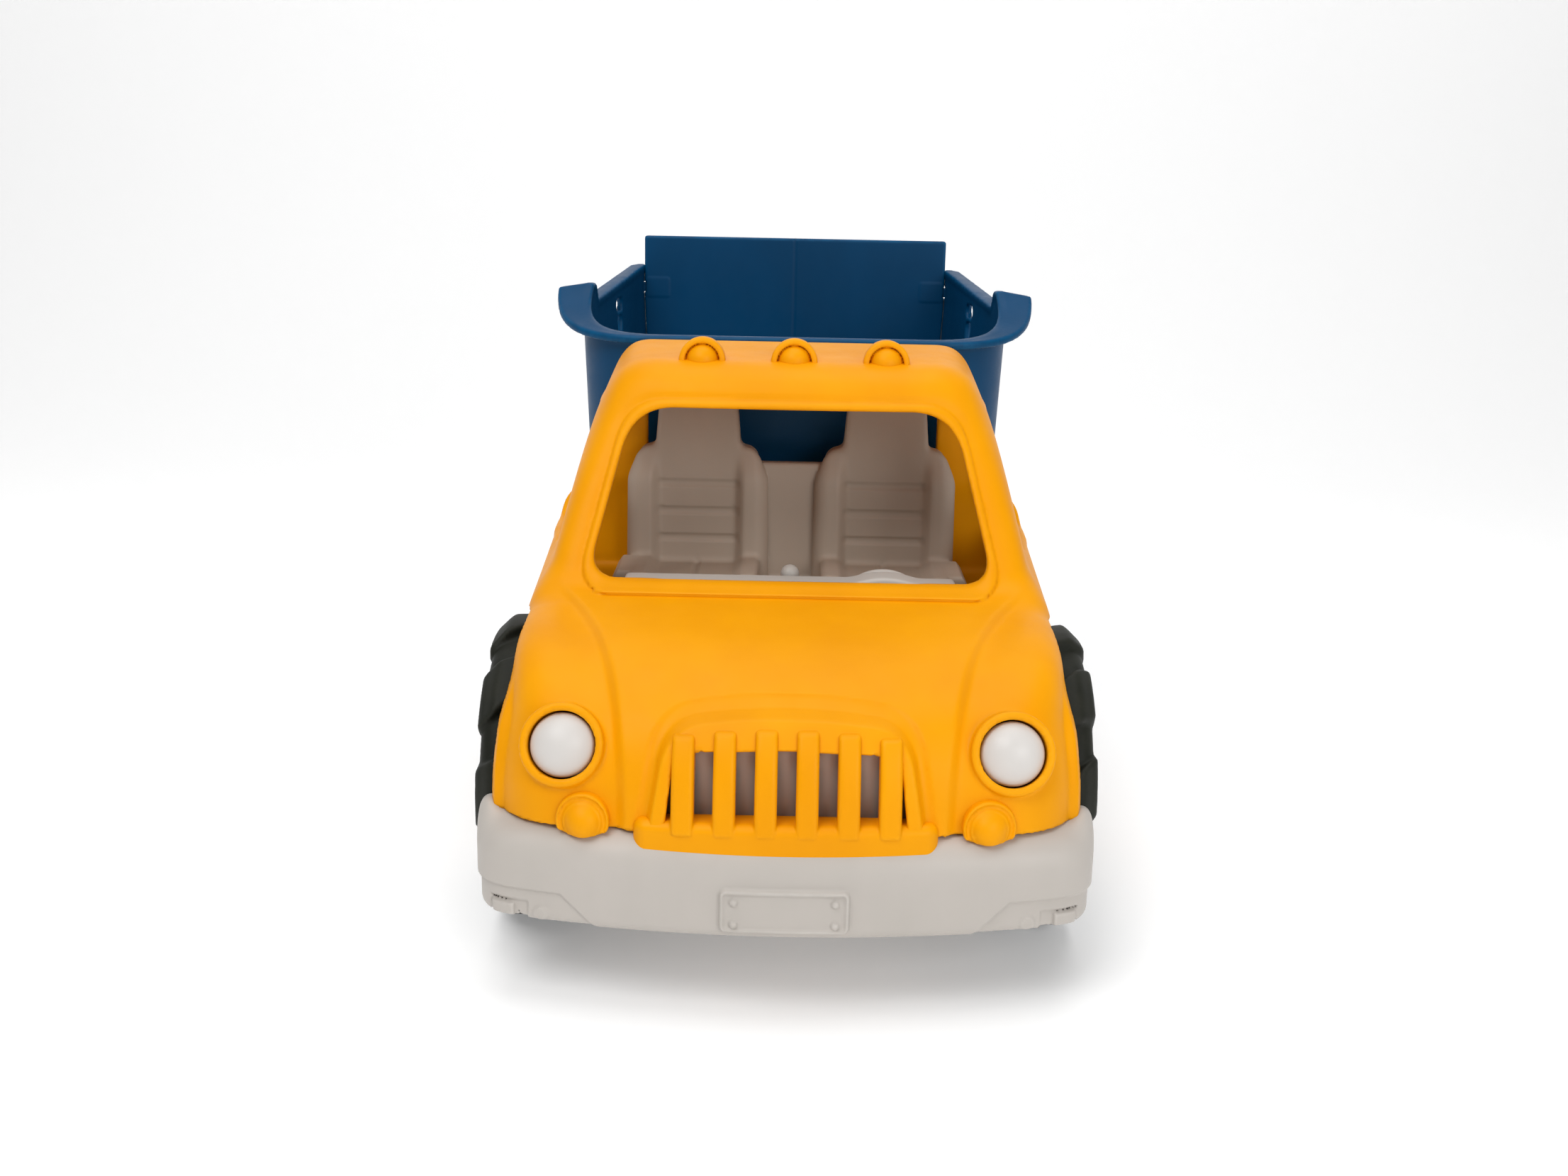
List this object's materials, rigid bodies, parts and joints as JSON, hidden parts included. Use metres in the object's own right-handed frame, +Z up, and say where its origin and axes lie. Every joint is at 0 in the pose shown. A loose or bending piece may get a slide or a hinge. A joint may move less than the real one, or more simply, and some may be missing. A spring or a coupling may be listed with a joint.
{
  "type": "toy dump truck",
  "caption": "Toddler's plastic dump truck with open cab, bucket seats, tipping bed with swinging tailgate and chunky wheels on steel axles.",
  "frame": {"origin": "centre of the overall length and width, on the ground under the tyres", "axes": "+Z up; the truck faces -Y, its left side is +X"},
  "size_m": [0.2038, 0.345, 0.226],
  "materials": {
    "orange_plastic": "satin moulded",
    "blue_plastic": "satin moulded",
    "grey_plastic": "satin moulded, warm light grey",
    "black_rubber": "satin, hollow-moulded tyre",
    "steel": "plated"
  },
  "bodies": {
    "truck": {"chassis": "grey_plastic", "underbody_cover": "grey_plastic", "cover_screw_1": "steel", "cover_screw_2": "steel", "cover_screw_3": "steel", "cover_screw_4": "steel", "cab_screw_1": "steel", "cab_screw_2": "steel", "cab_screw_3": "steel", "cab_screw_4": "steel", "cab_shell": "orange_plastic", "headlamp_right": "grey_plastic", "headlamp_left": "grey_plastic", "seat_unit": "grey_plastic", "dashboard": "grey_plastic", "gear_lever": "grey_plastic", "bed_hinge_pin": "steel"},
    "front_wheels": {"front_axle": "steel", "front_tyre_right": "black_rubber", "front_rim_right": "grey_plastic", "front_hub_cap_right": "grey_plastic", "front_tyre_left": "black_rubber", "front_rim_left": "grey_plastic", "front_hub_cap_left": "grey_plastic"},
    "rear_wheels": {"rear_axle": "steel", "rear_tyre_right": "black_rubber", "rear_rim_right": "grey_plastic", "rear_hub_cap_right": "grey_plastic", "rear_tyre_left": "black_rubber", "rear_rim_left": "grey_plastic", "rear_hub_cap_left": "grey_plastic"},
    "bed": {"dump_bed": "blue_plastic", "tailgate_pin_right": "blue_plastic", "tailgate_pin_left": "blue_plastic"},
    "gate": {"tailgate": "blue_plastic"},
    "steering": {"steering_wheel": "grey_plastic"}
  },
  "joints": [
    {"name": "front_axle_spin", "type": "hinge", "parent": "truck", "child": "front_wheels", "pos_m": [0, -0.0845, 0.053], "axis": [1, 0, 0], "continuous": true},
    {"name": "rear_axle_spin", "type": "hinge", "parent": "truck", "child": "rear_wheels", "pos_m": [0, 0.0855, 0.053], "axis": [1, 0, 0], "continuous": true},
    {"name": "bed_tip", "type": "hinge", "parent": "truck", "child": "bed", "pos_m": [0, 0.1395, 0.09], "axis": [-1, 0, 0], "range_deg": [0, 50]},
    {"name": "tailgate_swing", "type": "hinge", "parent": "bed", "child": "gate", "pos_m": [0, 0.1665, 0.202], "axis": [1, 0, 0], "range_deg": [0, 85]},
    {"name": "steering_wheel_turn", "type": "hinge", "parent": "truck", "child": "steering", "pos_m": [0.034, -0.051, 0.102], "axis": [0, 0.9063, 0.4226], "continuous": true}
  ]
}
